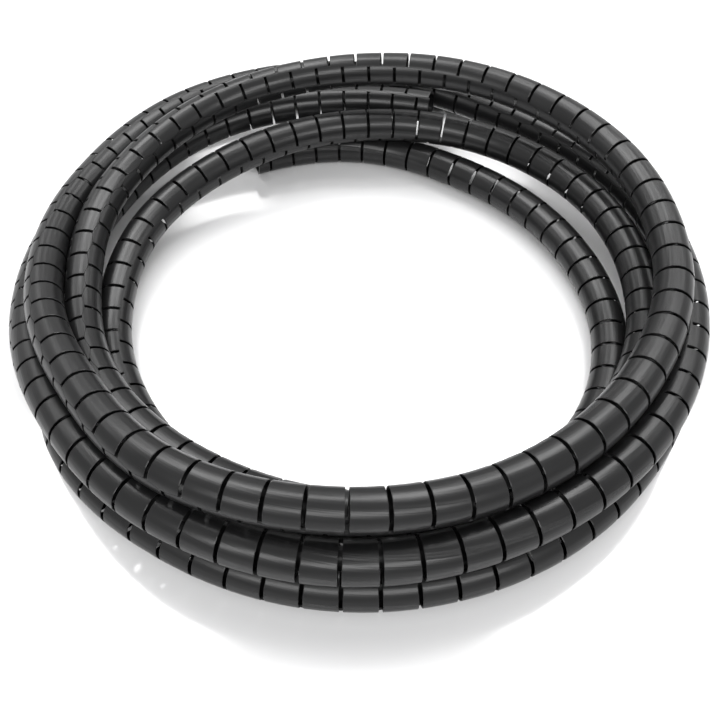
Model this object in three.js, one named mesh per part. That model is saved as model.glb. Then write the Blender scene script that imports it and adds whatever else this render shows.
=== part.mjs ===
// Spiral cable wrap: a hollow plastic hose, lying on the floor as a loose round coil of five turns.
// Millimetres, Z up, the floor at Z = 0 and the coil's box centred on the Z axis.
import * as THREE from "three";

// The hose's own sizes.
const HOSE_DIAMETER = 20;
const HOSE_WALL = 1.2;

// The way that it is wound, clockwise as seen from above. Wound angles are counted from a line at
// START_LINE_ANGLE, and the hose's inner end is a little past that line.
const START_LINE_ANGLE = 120;
const INNER_END_WOUND = 6;
const OUTER_END_WOUND = 1847;
const STATION_ANGLE = 30;

// How finely it is drawn.
const STEPS_PER_TURN = 40;
const SECTION_SIDES = 12;

// One row for each turn and one pair for each 30 degrees of it: how far the hose's middle is from
// the coil's middle, and how high it is above the floor. The turns lie loosely on one another.
const STATIONS = [
  [[158, 10], [157, 11], [145.5, 12], [141, 13], [142.5, 10], [142.5, 10],
    [138, 10], [138, 10], [129, 10], [127, 10], [131.5, 11], [138, 21]],
  [[138.5, 31], [149, 33], [164, 29], [167, 27], [160, 25], [152, 28],
    [144, 31], [137.5, 32], [133.5, 32], [137, 31], [145, 28], [162, 37]],
  [[169, 51], [165.5, 63], [171, 65], [175, 60], [168, 54], [157, 52],
    [152, 52], [152.5, 58], [152.5, 57], [149.5, 50], [163.5, 37], [186, 30]],
  [[208, 31], [204, 35], [194, 30], [189, 31], [179.5, 36], [172.5, 37],
    [166.5, 37], [164.5, 37], [163, 39], [162.5, 34], [176, 19], [199, 10]],
  [[225, 10], [229, 10], [228.5, 10], [210, 10], [183, 10], [172, 10],
    [167, 10], [163, 10], [160.5, 10], [163, 10], [154.5, 10], [178, 10]],
  [[186, 23.5], [180, 31], [178, 33]],
];

const HOSE_RADIUS = HOSE_DIAMETER / 2;
const BORE_RADIUS = HOSE_RADIUS - HOSE_WALL;

// The line along the hose's middle: a smooth curve through the stations, turned round the coil.
class CoilLine extends THREE.Curve {
  constructor() {
    super();
    this.lay = new THREE.SplineCurve(
      STATIONS.flat().map(([radius, height]) => new THREE.Vector2(radius, height)),
    );
  }

  getPoint(t, target = new THREE.Vector3()) {
    const wound = THREE.MathUtils.lerp(INNER_END_WOUND, OUTER_END_WOUND, t);
    const { x: radius, y: height } = this.lay.getPoint(wound / STATION_ANGLE / (this.lay.points.length - 1));
    const angle = THREE.MathUtils.degToRad(START_LINE_ANGLE - wound);
    return target.set(radius * Math.cos(angle), radius * Math.sin(angle), Math.max(height, HOSE_RADIUS));
  }
}

function hoseSection() {
  const section = new THREE.Shape().absarc(0, 0, HOSE_RADIUS, 0, 2 * Math.PI, false);
  section.holes.push(new THREE.Path().absarc(0, 0, BORE_RADIUS, 0, 2 * Math.PI, true));
  return section;
}

function coiledHose() {
  const line = new CoilLine();
  const steps = Math.round(((OUTER_END_WOUND - INNER_END_WOUND) / 360) * STEPS_PER_TURN);
  line.arcLengthDivisions = steps * 4;
  const geometry = new THREE.ExtrudeGeometry(hoseSection(), {
    steps,
    curveSegments: SECTION_SIDES / 2,
    extrudePath: line,
    bevelEnabled: false,
  });
  geometry.computeBoundingBox();
  const box = geometry.boundingBox;
  geometry.translate(-(box.min.x + box.max.x) / 2, -(box.min.y + box.max.y) / 2, -box.min.z);
  return geometry;
}

const blackPlastic = new THREE.MeshStandardMaterial({ color: 0x2b2b2b, roughness: 0.5, metalness: 0 });

const wrap = new THREE.Group();
wrap.name = "spiral_cable_wrap";
const hose = new THREE.Mesh(coiledHose(), blackPlastic);
hose.name = "wrap_hose";
wrap.add(hose);

export default wrap;
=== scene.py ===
import bisect
import math

import bpy
import numpy as np
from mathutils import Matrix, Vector


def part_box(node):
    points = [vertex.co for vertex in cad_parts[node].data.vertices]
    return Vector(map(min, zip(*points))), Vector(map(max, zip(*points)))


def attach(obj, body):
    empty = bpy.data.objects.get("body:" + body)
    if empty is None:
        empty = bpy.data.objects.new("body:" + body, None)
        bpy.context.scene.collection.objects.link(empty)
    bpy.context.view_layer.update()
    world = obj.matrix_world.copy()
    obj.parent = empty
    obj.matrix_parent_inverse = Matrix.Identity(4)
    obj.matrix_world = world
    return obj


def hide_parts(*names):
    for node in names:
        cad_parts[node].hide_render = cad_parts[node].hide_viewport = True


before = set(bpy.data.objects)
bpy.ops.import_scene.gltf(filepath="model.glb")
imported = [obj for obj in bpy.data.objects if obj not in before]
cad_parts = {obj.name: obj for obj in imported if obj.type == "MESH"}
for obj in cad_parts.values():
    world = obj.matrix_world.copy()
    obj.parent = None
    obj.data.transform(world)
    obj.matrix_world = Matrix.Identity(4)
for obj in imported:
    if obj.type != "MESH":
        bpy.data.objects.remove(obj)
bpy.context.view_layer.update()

# The camera.
# It stands in front of the coil, nearly on its middle, and looks down on it at about 49 degrees.
CAMERA_PLACE = (0.0010, -0.3745, 0.3737)
CAMERA_DOWN = math.radians(49.40)
CAMERA_SENSOR = 36
CAMERA_FOCAL = 894.5 / 720 * CAMERA_SENSOR

camera_data = bpy.data.cameras.new("camera")
camera_data.sensor_fit = "HORIZONTAL"
camera_data.sensor_width = CAMERA_SENSOR
camera_data.lens = CAMERA_FOCAL
camera_data.clip_start = 0.01
camera_data.clip_end = 50
camera = bpy.data.objects.new("camera", camera_data)
camera.location = CAMERA_PLACE
camera.rotation_euler = (math.pi / 2 - CAMERA_DOWN, 0, 0)
bpy.context.scene.collection.objects.link(camera)
bpy.context.scene.camera = camera

# The way that the hose lies.
# It is springy tube that has been let go after coiling, so its turns lie loosely on one another. It is
# wound clockwise from its inner end, as seen from above, and it rolls about its own line as it goes, on
# average by most of a turn in each turn.
MM = 0.001
HOSE_DIAMETER = 20 * MM
HOSE_RADIUS = HOSE_DIAMETER / 2
START_LINE_ANGLE = 120
INNER_END_WOUND = 6
OUTER_END_WOUND = 1847
STATION_ANGLE = 30
ROUTE_STEPS = 920
STATIONS = [
    [[158, 10], [157, 11], [145.5, 12], [141, 13], [142.5, 10], [142.5, 10],
     [138, 10], [138, 10], [129, 10], [127, 10], [131.5, 11], [138, 21]],
    [[138.5, 31], [149, 33], [164, 29], [167, 27], [160, 25], [152, 28],
     [144, 31], [137.5, 32], [133.5, 32], [137, 31], [145, 28], [162, 37]],
    [[169, 51], [165.5, 63], [171, 65], [175, 60], [168, 54], [157, 52],
     [152, 52], [152.5, 58], [152.5, 57], [149.5, 50], [163.5, 37], [186, 30]],
    [[208, 31], [204, 35], [194, 30], [189, 31], [179.5, 36], [172.5, 37],
     [166.5, 37], [164.5, 37], [163, 39], [162.5, 34], [176, 19], [199, 10]],
    [[225, 10], [229, 10], [228.5, 10], [210, 10], [183, 10], [172, 10],
     [167, 10], [163, 10], [160.5, 10], [163, 10], [154.5, 10], [178, 10]],
    [[186, 23.5], [180, 31], [178, 33]],
]
# Wound angle against the angle of the seam round the hose: 0 faces out of the coil, 90 up, 180 in.
SEAM_ROLL = [
    (0, -52), (338, 225), (385, 267), (678, 482), (693, 502), (736, 546), (753, 565), (930, 710),
    (1035, 798), (1058, 813), (1170, 872), (1214, 888), (1290, 980), (1330, 1050), (1380, 1140),
    (1440, 1190), (1640, 1380), (1690, 1425), (1847, 1555),
]

stations = [[value * MM for value in pair] for row in STATIONS for pair in row]


def smooth_station(place):
    first = min(int(place), len(stations) - 2)
    part = place - first
    ends = [stations[min(max(first + k, 0), len(stations) - 1)] for k in (-1, 0, 1, 2)]
    values = []
    for before, start, end, after in zip(*ends):
        leave, arrive = (end - before) / 2, (after - start) / 2
        values.append((2 * start - 2 * end + leave + arrive) * part**3
                      + (3 * end - 3 * start - 2 * leave - arrive) * part**2 + leave * part + start)
    return values


def route_point(wound):
    radius, height = smooth_station(wound / STATION_ANGLE)
    angle = math.radians(START_LINE_ANGLE - wound)
    return Vector((radius * math.cos(angle), radius * math.sin(angle), max(height, HOSE_RADIUS)))


def seam_roll(wound):
    after = bisect.bisect_right([row[0] for row in SEAM_ROLL[1:-1]], wound) + 1
    (start, start_roll), (end, end_roll) = SEAM_ROLL[after - 1], SEAM_ROLL[after]
    return math.radians(start_roll + (end_roll - start_roll) * (wound - start) / (end - start))


wound_angles = [INNER_END_WOUND + (OUTER_END_WOUND - INNER_END_WOUND) * k / ROUTE_STEPS
                for k in range(ROUTE_STEPS + 1)]
route = [route_point(wound) for wound in wound_angles]
hose_low, hose_high = (Vector(corner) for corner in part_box("wrap_hose"))
box_middle = (hose_low + hose_high) / 2
route_middle = Vector([(min(p[k] for p in route) + max(p[k] for p in route)) / 2 for k in range(3)])
shift = Vector((box_middle.x - route_middle.x, box_middle.y - route_middle.y, 0))
route = [point + shift for point in route]
hose_length = sum((b - a).length for a, b in zip(route, route[1:]))

route_data = bpy.data.curves.new("route", "CURVE")
route_data.dimensions = "3D"
route_data.twist_mode = "Z_UP"
spline = route_data.splines.new("POLY")
spline.points.add(len(route) - 1)
for point, place, wound in zip(spline.points, route, wound_angles):
    point.co = (*place, 1)
    point.tilt = seam_roll(wound)
route_object = bpy.data.objects.new("route", route_data)
bpy.context.scene.collection.objects.link(route_object)

# The hose.
# An extruded tube of black polyethylene with a thin wall, cut across by narrow slits in two rows, one long
# and one short, half a pitch apart. The rows part at an uncut spine on one side and at a wavy open seam on
# the other. One pitch of it is drawn straight, repeated, given its wall, and then bent.
CELLS = 323
PITCH = hose_length / CELLS
WALL = 1.2 * MM
SLIT = 1.75 * MM
SEAM_GAP = 0.16 * MM
SEAM_WAVE = 4.2
SPINE_SHORT_SIDE = -67
SPINE_LONG_SIDE = 287
EDGE_DEPTH = 0.14 * MM
EDGE_WIDTH = 0.26 * MM
LONG_ROWS = 16
SHORT_ROWS = 3
SEAM_MARGIN = 16
SEAM_STEPS = 5
ROUTE_ENDS = 0.5
MERGE_DISTANCE = 0.02 * MM

cell_points = []
cell_faces = []


def cell_point(along, around, depth=0.0):
    angle = math.radians(around)
    radius = HOSE_RADIUS - depth
    cell_points.append((radius * math.cos(angle), radius * math.sin(angle), along))
    return len(cell_points) - 1


def rib_columns(start):
    low, high = start + SLIT / 2, start + PITCH - SLIT / 2
    return [low, low + EDGE_WIDTH, (low + high) / 2, high - EDGE_WIDTH, high]


def rib_row(start, around):
    columns = rib_columns(start)
    return [cell_point(along, around, EDGE_DEPTH if k in (0, 4) else 0) for k, along in enumerate(columns)]


def seam_row(start, side):
    low, inner_low, middle, inner_high, high = rib_columns(start)
    first_half = [inner_low + (middle - inner_low) * k / SEAM_STEPS for k in range(SEAM_STEPS)]
    second_half = [middle + (inner_high - middle) * k / SEAM_STEPS for k in range(SEAM_STEPS)]
    columns = [low, *first_half, *second_half, inner_high, high]
    half_gap = math.degrees(SEAM_GAP / 2 / HOSE_RADIUS)
    return [cell_point(along, SEAM_WAVE * math.cos(2 * math.pi * along / PITCH) + side * half_gap,
                       EDGE_DEPTH if along in (low, high) else 0) for along in columns]


def fill_rows(one, other):
    for k in range(len(one) - 1):
        cell_faces.append((one[k], one[k + 1], other[k + 1], other[k]))


def fill_fan(row, fine):
    joints = (0, 1, 1 + SEAM_STEPS, 1 + 2 * SEAM_STEPS, 2 + 2 * SEAM_STEPS)
    for k in range(4):
        first, last = joints[k], joints[k + 1]
        split = (first + last) // 2
        for j in range(first, last):
            cell_faces.append((row[k] if j < split else row[k + 1], fine[j], fine[j + 1]))
        cell_faces.append((row[k], row[k + 1], fine[split]))


def fill_strip(one, other):
    i = j = 0
    while i < len(one) - 1 or j < len(other) - 1:
        next_one = cell_points[one[i + 1]][2] if i < len(one) - 1 else math.inf
        next_other = cell_points[other[j + 1]][2] if j < len(other) - 1 else math.inf
        if next_one <= next_other:
            cell_faces.append((one[i], one[i + 1], other[j]))
            i += 1
        else:
            cell_faces.append((other[j], other[j + 1], one[i]))
            j += 1


def fill_rib(start, side, angles):
    rows = [rib_row(start, around) for around in angles]
    for one, other in zip(rows, rows[1:]):
        fill_rows(one, other)
    fill_fan(rows[0], seam_row(start, side))
    return rows[-1]


long_angles = [SEAM_MARGIN + (SPINE_LONG_SIDE - SEAM_MARGIN) * k / LONG_ROWS
               for k in range(LONG_ROWS + 1)]
short_angles = [-SEAM_MARGIN + (SPINE_SHORT_SIDE + SEAM_MARGIN) * k / SHORT_ROWS
                for k in range(SHORT_ROWS + 1)]
long_end = fill_rib(0, 1, long_angles)
short_end = fill_rib(PITCH / 2, -1, short_angles)
next_long = rib_row(PITCH, SPINE_LONG_SIDE)
next_short = rib_row(PITCH * 3 / 2, SPINE_SHORT_SIDE)
fill_strip(long_end[2:] + next_long[:3], short_end + next_short[:1])

facing_out = []
for face in cell_faces:
    corners = [Vector(cell_points[k]) for k in face]
    middle = sum(corners, Vector()) / len(corners)
    normal = (corners[1] - corners[0]).cross(corners[2] - corners[0])
    facing_out.append(face if normal.x * middle.x + normal.y * middle.y > 0 else face[::-1])
cell_data = bpy.data.meshes.new("hose_cell")
cell_data.from_pydata(cell_points, [], facing_out)
hose = bpy.data.objects.new("hose", cell_data)
bpy.context.scene.collection.objects.link(hose)


class Tree:
    """A geometry tree whose nodes are made by one method, from their settings and their sockets' values."""

    def __init__(self, name):
        self.group = bpy.data.node_groups.new(name, "GeometryNodeTree")
        self.group.interface.new_socket("Geometry", in_out="OUTPUT", socket_type="NodeSocketGeometry")
        self.group.interface.new_socket("Geometry", in_out="INPUT", socket_type="NodeSocketGeometry")
        self.inputs = {}

    def add_input(self, name, kind):
        self.inputs[name] = self.group.interface.new_socket(name, in_out="INPUT", socket_type=kind).identifier

    def node(self, kind, settings=None, **values):
        made = self.group.nodes.new(kind)
        for name, value in (settings or {}).items():
            setattr(made, name, value)
        for name, value in values.items():
            numbered = name[0] == "i" and name[1:].isdigit()
            socket = made.inputs[int(name[1:]) if numbered else name.replace("_", " ")]
            if isinstance(value, bpy.types.NodeSocket):
                self.group.links.new(value, socket)
            else:
                socket.default_value = value
        return made

    def apply_to(self, owner, **values):
        modifier = owner.modifiers.new(self.group.name, "NODES")
        modifier.node_group = self.group
        for name, value in values.items():
            modifier[self.inputs[name]] = value


repeat = Tree("repeat_pitch")
repeat.add_input("Pitch", "NodeSocketFloat")
repeat.add_input("Cells", "NodeSocketInt")
given = repeat.node("NodeGroupInput").outputs
count = repeat.node("ShaderNodeMath", {"operation": "ADD"}, i0=given["Cells"], i1=1.0).outputs[0]
offset = repeat.node("ShaderNodeCombineXYZ", Z=given["Pitch"]).outputs[0]
line = repeat.node("GeometryNodeMeshLine", {"mode": "OFFSET"}, Count=count, Offset=offset).outputs[0]
cells = repeat.node("GeometryNodeInstanceOnPoints", Points=line, Instance=given["Geometry"]).outputs[0]
real = repeat.node("GeometryNodeRealizeInstances", Geometry=cells).outputs[0]
joined = repeat.node("GeometryNodeMergeByDistance", Geometry=real, Distance=MERGE_DISTANCE).outputs[0]
place = repeat.node("GeometryNodeInputPosition").outputs[0]
height = repeat.node("ShaderNodeSeparateXYZ", Vector=place).outputs["Z"]
pitches = repeat.node("ShaderNodeMath", {"operation": "DIVIDE"}, i0=height, i1=given["Pitch"]).outputs[0]
early = repeat.node("ShaderNodeMath", {"operation": "LESS_THAN"}, i0=pitches, i1=ROUTE_ENDS).outputs[0]
last = repeat.node("ShaderNodeMath", {"operation": "ADD"}, i0=given["Cells"], i1=ROUTE_ENDS).outputs[0]
late = repeat.node("ShaderNodeMath", {"operation": "GREATER_THAN"}, i0=pitches, i1=last).outputs[0]
outside = repeat.node("ShaderNodeMath", {"operation": "MAXIMUM"}, i0=early, i1=late).outputs[0]
kept = repeat.node("GeometryNodeDeleteGeometry", {"domain": "FACE"},
                   Geometry=joined, Selection=outside).outputs[0]
repeat.node("NodeGroupOutput", Geometry=kept)
repeat.apply_to(hose, Pitch=PITCH, Cells=CELLS)

wall = hose.modifiers.new("wall", "SOLIDIFY")
wall.thickness = WALL
wall.offset = -1

black_plastic = bpy.data.materials.new("black_plastic")

bend = Tree("bend_onto_route")
bend.add_input("Route", "NodeSocketObject")
bend.add_input("Start", "NodeSocketFloat")
bend.add_input("Material", "NodeSocketMaterial")
given = bend.node("NodeGroupInput").outputs
path = bend.node("GeometryNodeObjectInfo", Object=given["Route"]).outputs["Geometry"]
place = bend.node("GeometryNodeInputPosition").outputs[0]
parts = bend.node("ShaderNodeSeparateXYZ", Vector=place).outputs
along = bend.node("ShaderNodeMath", {"operation": "SUBTRACT"}, i0=parts["Z"], i1=given["Start"]).outputs[0]
around = bend.node("ShaderNodeMath", {"operation": "ARCTAN2"}, i0=parts["Y"], i1=parts["X"]).outputs[0]
marked = bend.node("GeometryNodeStoreNamedAttribute", {"data_type": "FLOAT", "domain": "POINT"},
                   Geometry=given["Geometry"], Name="along", Value=along).outputs[0]
marked = bend.node("GeometryNodeStoreNamedAttribute", {"data_type": "FLOAT", "domain": "POINT"},
                   Geometry=marked, Name="around", Value=around).outputs[0]
sample = bend.node("GeometryNodeSampleCurve", {"mode": "LENGTH", "use_all_curves": True},
                   Curves=path, Length=along).outputs
side = bend.node("ShaderNodeVectorMath", {"operation": "CROSS_PRODUCT"},
                 i0=sample["Tangent"], i1=sample["Normal"]).outputs[0]
outward = bend.node("ShaderNodeVectorMath", {"operation": "SCALE"},
                    i0=sample["Normal"], Scale=parts["X"]).outputs[0]
upward = bend.node("ShaderNodeVectorMath", {"operation": "SCALE"}, i0=side, Scale=parts["Y"]).outputs[0]
both = bend.node("ShaderNodeVectorMath", {"operation": "ADD"}, i0=outward, i1=upward).outputs[0]
bent = bend.node("ShaderNodeVectorMath", {"operation": "SUBTRACT"}, i0=sample["Position"], i1=both).outputs[0]
radial = bend.node("ShaderNodeVectorMath", {"operation": "SCALE"}, i0=both, Scale=-1.0).outputs[0]
marked = bend.node("GeometryNodeStoreNamedAttribute", {"data_type": "FLOAT_VECTOR", "domain": "POINT"},
                   Geometry=marked, Name="radial", Value=radial).outputs[0]
moved = bend.node("GeometryNodeSetPosition", Geometry=marked, Position=bent).outputs[0]
solid = bend.node("GeometryNodeRealizeInstances", Geometry=moved).outputs[0]
finished = bend.node("GeometryNodeSetMaterial", Geometry=solid, Material=given["Material"]).outputs[0]
bend.node("NodeGroupOutput", Geometry=finished)
bend.apply_to(hose, Route=route_object, Start=PITCH * ROUTE_ENDS, Material=black_plastic)

evaluated = hose.evaluated_get(bpy.context.evaluated_depsgraph_get())
hose_data = bpy.data.meshes.new_from_object(evaluated)
hose.modifiers.clear()
hose.data = hose_data
hose_data.name = "hose"
hose_data.shade_smooth()

# The round faces take the true round's normals, and the cut faces and their softened edges keep their own.
ROUND_LIMIT = math.cos(math.radians(20))
radial = np.empty(len(hose_data.vertices) * 3)
hose_data.attributes["radial"].data.foreach_get("vector", radial)
radial = radial.reshape(-1, 3)
radial /= np.linalg.norm(radial, axis=1, keepdims=True)
corner_vertices = np.empty(len(hose_data.loops), dtype=np.int32)
hose_data.loops.foreach_get("vertex_index", corner_vertices)
face_normals = np.empty(len(hose_data.polygons) * 3)
hose_data.polygons.foreach_get("normal", face_normals)
corner_counts = np.empty(len(hose_data.polygons), dtype=np.int32)
hose_data.polygons.foreach_get("loop_total", corner_counts)
flat = np.repeat(face_normals.reshape(-1, 3), corner_counts, axis=0)
round_ones = radial[corner_vertices]
facing = np.sum(flat * round_ones, axis=1)
normals = np.where(np.abs(facing)[:, None] > ROUND_LIMIT, np.sign(facing)[:, None] * round_ones, flat)
hose_data.normals_split_custom_set(normals.tolist())
hose_data.attributes.remove(hose_data.attributes["radial"])
bpy.data.objects.remove(route_object)

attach(hose, "root")
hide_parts("wrap_hose")


class Shade:
    """A node socket that is used in sums like a number."""

    def __init__(self, tree, socket):
        self.tree, self.socket = tree, socket

    def maths(self, operation, *values):
        return add_node(self.tree, "ShaderNodeMath", {"operation": operation}, *values)

    def __add__(self, other):
        return self.maths("ADD", self, other)

    def __radd__(self, other):
        return self.maths("ADD", other, self)

    def __mul__(self, other):
        return self.maths("MULTIPLY", self, other)

    def __rmul__(self, other):
        return self.maths("MULTIPLY", other, self)


def add_node(tree, kind, settings, *values, output=0, **named):
    made = tree.nodes.new(kind)
    for name, value in settings.items():
        setattr(made, name, value)
    by_name = [(name.replace("_", " "), value) for name, value in named.items()]
    for key, value in [*enumerate(values), *by_name]:
        if isinstance(value, Shade):
            tree.links.new(value.socket, made.inputs[key])
        else:
            made.inputs[key].default_value = value
    return Shade(tree, made.outputs[output]) if made.outputs else None


# The black plastic is satin, with faint lines along it from the die and a little unevenness.
BLACK = (0.0045, 0.0045, 0.0047, 1)
GREY_BLACK = (0.0095, 0.0095, 0.0098, 1)
LINES_ALONG = 0.5
LINES_AROUND = 3.5
CLOUD_SCALE = 60.0
GRAIN_SCALE = 2600.0
GRAIN_HEIGHT = 0.02
RELIEF_STRENGTH = 0.4
RELIEF_DEPTH = 0.5 * MM
GREY_FROM_CLOUD = 0.6
GREY_FROM_LINES = 0.4
LEAST_ROUGHNESS = 0.22
ROUGHNESS_FROM_CLOUD = 0.06
ROUGHNESS_FROM_LINES = 0.10
PLASTIC_REFLECTION = 0.33
black_plastic.use_nodes = True
tree = black_plastic.node_tree
tree.nodes.clear()
along = add_node(tree, "ShaderNodeAttribute", {"attribute_name": "along"}, output="Fac")
around = add_node(tree, "ShaderNodeAttribute", {"attribute_name": "around"}, output="Fac")
lengthwise = add_node(tree, "ShaderNodeCombineXYZ", {}, along * LINES_ALONG, around * LINES_AROUND, 0.0)
lines = add_node(tree, "ShaderNodeTexNoise", {}, Vector=lengthwise, Scale=1.0, Detail=3.0, Roughness=0.5)
object_place = add_node(tree, "ShaderNodeTexCoord", {}, output="Object")
cloud = add_node(tree, "ShaderNodeTexNoise", {}, Vector=object_place, Scale=CLOUD_SCALE, Detail=3.0)
grain = add_node(tree, "ShaderNodeTexNoise", {}, Vector=object_place, Scale=GRAIN_SCALE, Detail=2.0)
blend = cloud * GREY_FROM_CLOUD + lines * GREY_FROM_LINES
colour = add_node(tree, "ShaderNodeMix", {"data_type": "RGBA"}, Factor=blend, output=2)
colour_mix = colour.socket.node
colour_mix.inputs[6].default_value = BLACK
colour_mix.inputs[7].default_value = GREY_BLACK
roughness = LEAST_ROUGHNESS + ROUGHNESS_FROM_CLOUD * cloud + ROUGHNESS_FROM_LINES * lines
heights = lines + grain * GRAIN_HEIGHT
bump = add_node(tree, "ShaderNodeBump", {}, Strength=RELIEF_STRENGTH, Distance=RELIEF_DEPTH, Height=heights,
                output="Normal")
surface = add_node(tree, "ShaderNodeBsdfPrincipled", {}, Base_Color=colour, Roughness=roughness, Normal=bump,
                   Specular_IOR_Level=PLASTIC_REFLECTION)
add_node(tree, "ShaderNodeOutputMaterial", {}, Surface=surface)

# The floor.
# A pale, faintly glossy sheet, which takes a soft shadow and a weak mirror image of the coil.
FLOOR_HALF = 3.0
FLOOR_GREY = (0.68, 0.68, 0.684, 1)
FLOOR_ROUGHNESS = 0.12
FLOOR_REFLECTION = 1.0
floor_data = bpy.data.meshes.new("floor")
floor_corners = [(-FLOOR_HALF, -FLOOR_HALF, 0), (FLOOR_HALF, -FLOOR_HALF, 0),
                 (FLOOR_HALF, FLOOR_HALF, 0), (-FLOOR_HALF, FLOOR_HALF, 0)]
floor_data.from_pydata(floor_corners, [], [(0, 1, 2, 3)])
floor = bpy.data.objects.new("floor", floor_data)
bpy.context.scene.collection.objects.link(floor)
floor_finish = bpy.data.materials.new("floor_finish")
floor_finish.use_nodes = True
floor_shader = floor_finish.node_tree.nodes["Principled BSDF"]
floor_shader.inputs["Base Color"].default_value = FLOOR_GREY
floor_shader.inputs["Roughness"].default_value = FLOOR_ROUGHNESS
floor_shader.inputs["Specular IOR Level"].default_value = FLOOR_REFLECTION
floor_data.materials.append(floor_finish)

# The light.
# Long soft strips hang over the coil, some from side to side and some from front to back, so that each draws
# a soft bright band along the stretches of hose that run beside it, and a white sky fills the rest.
SKY_STRENGTH = 0.75
# Each strip from side to side: its name, how far back and how high it hangs, its width and its power.
CROSS_STRIPS = [("strip_back", 1.0, 1.95, 0.55, 40), ("strip_front", -1.6, 1.42, 0.50, 39)]
CROSS_LENGTH = 2.8
# Each strip from front to back: its angle over the coil, counted from the right, and its power.
FORE_AFT_STRIPS = [(40, 6), (74, 10), (106, 10), (140, 6)]
FORE_AFT_REACH = 1.6
FORE_AFT_BACK = 1.25
FORE_AFT_SIZE = (0.24, 2.3)

world = bpy.data.worlds.new("sky")
bpy.context.scene.world = world
world.use_nodes = True
world.node_tree.nodes["Background"].inputs["Color"].default_value = (1, 1, 1, 1)
world.node_tree.nodes["Background"].inputs["Strength"].default_value = SKY_STRENGTH


def soft_strip(name, place, size, turn, power):
    light_data = bpy.data.lights.new(name, "AREA")
    light_data.shape = "RECTANGLE"
    light_data.size, light_data.size_y = size
    light_data.energy = power
    light = bpy.data.objects.new(name, light_data)
    light.location = place
    light.rotation_euler = turn
    bpy.context.scene.collection.objects.link(light)


for name, back, up, width, power in CROSS_STRIPS:
    soft_strip(name, (0, back, up), (CROSS_LENGTH, width), (-math.atan2(back, up), 0, 0), power)
for number, (lift, power) in enumerate(FORE_AFT_STRIPS):
    angle = math.radians(lift)
    across, up = FORE_AFT_REACH * math.cos(angle), FORE_AFT_REACH * math.sin(angle)
    soft_strip(f"strip_{number}", (across, FORE_AFT_BACK, up), FORE_AFT_SIZE,
               (0, math.atan2(across, up), 0), power)

view = bpy.context.scene.view_settings
view.view_transform = "Standard"
view.look = "None"
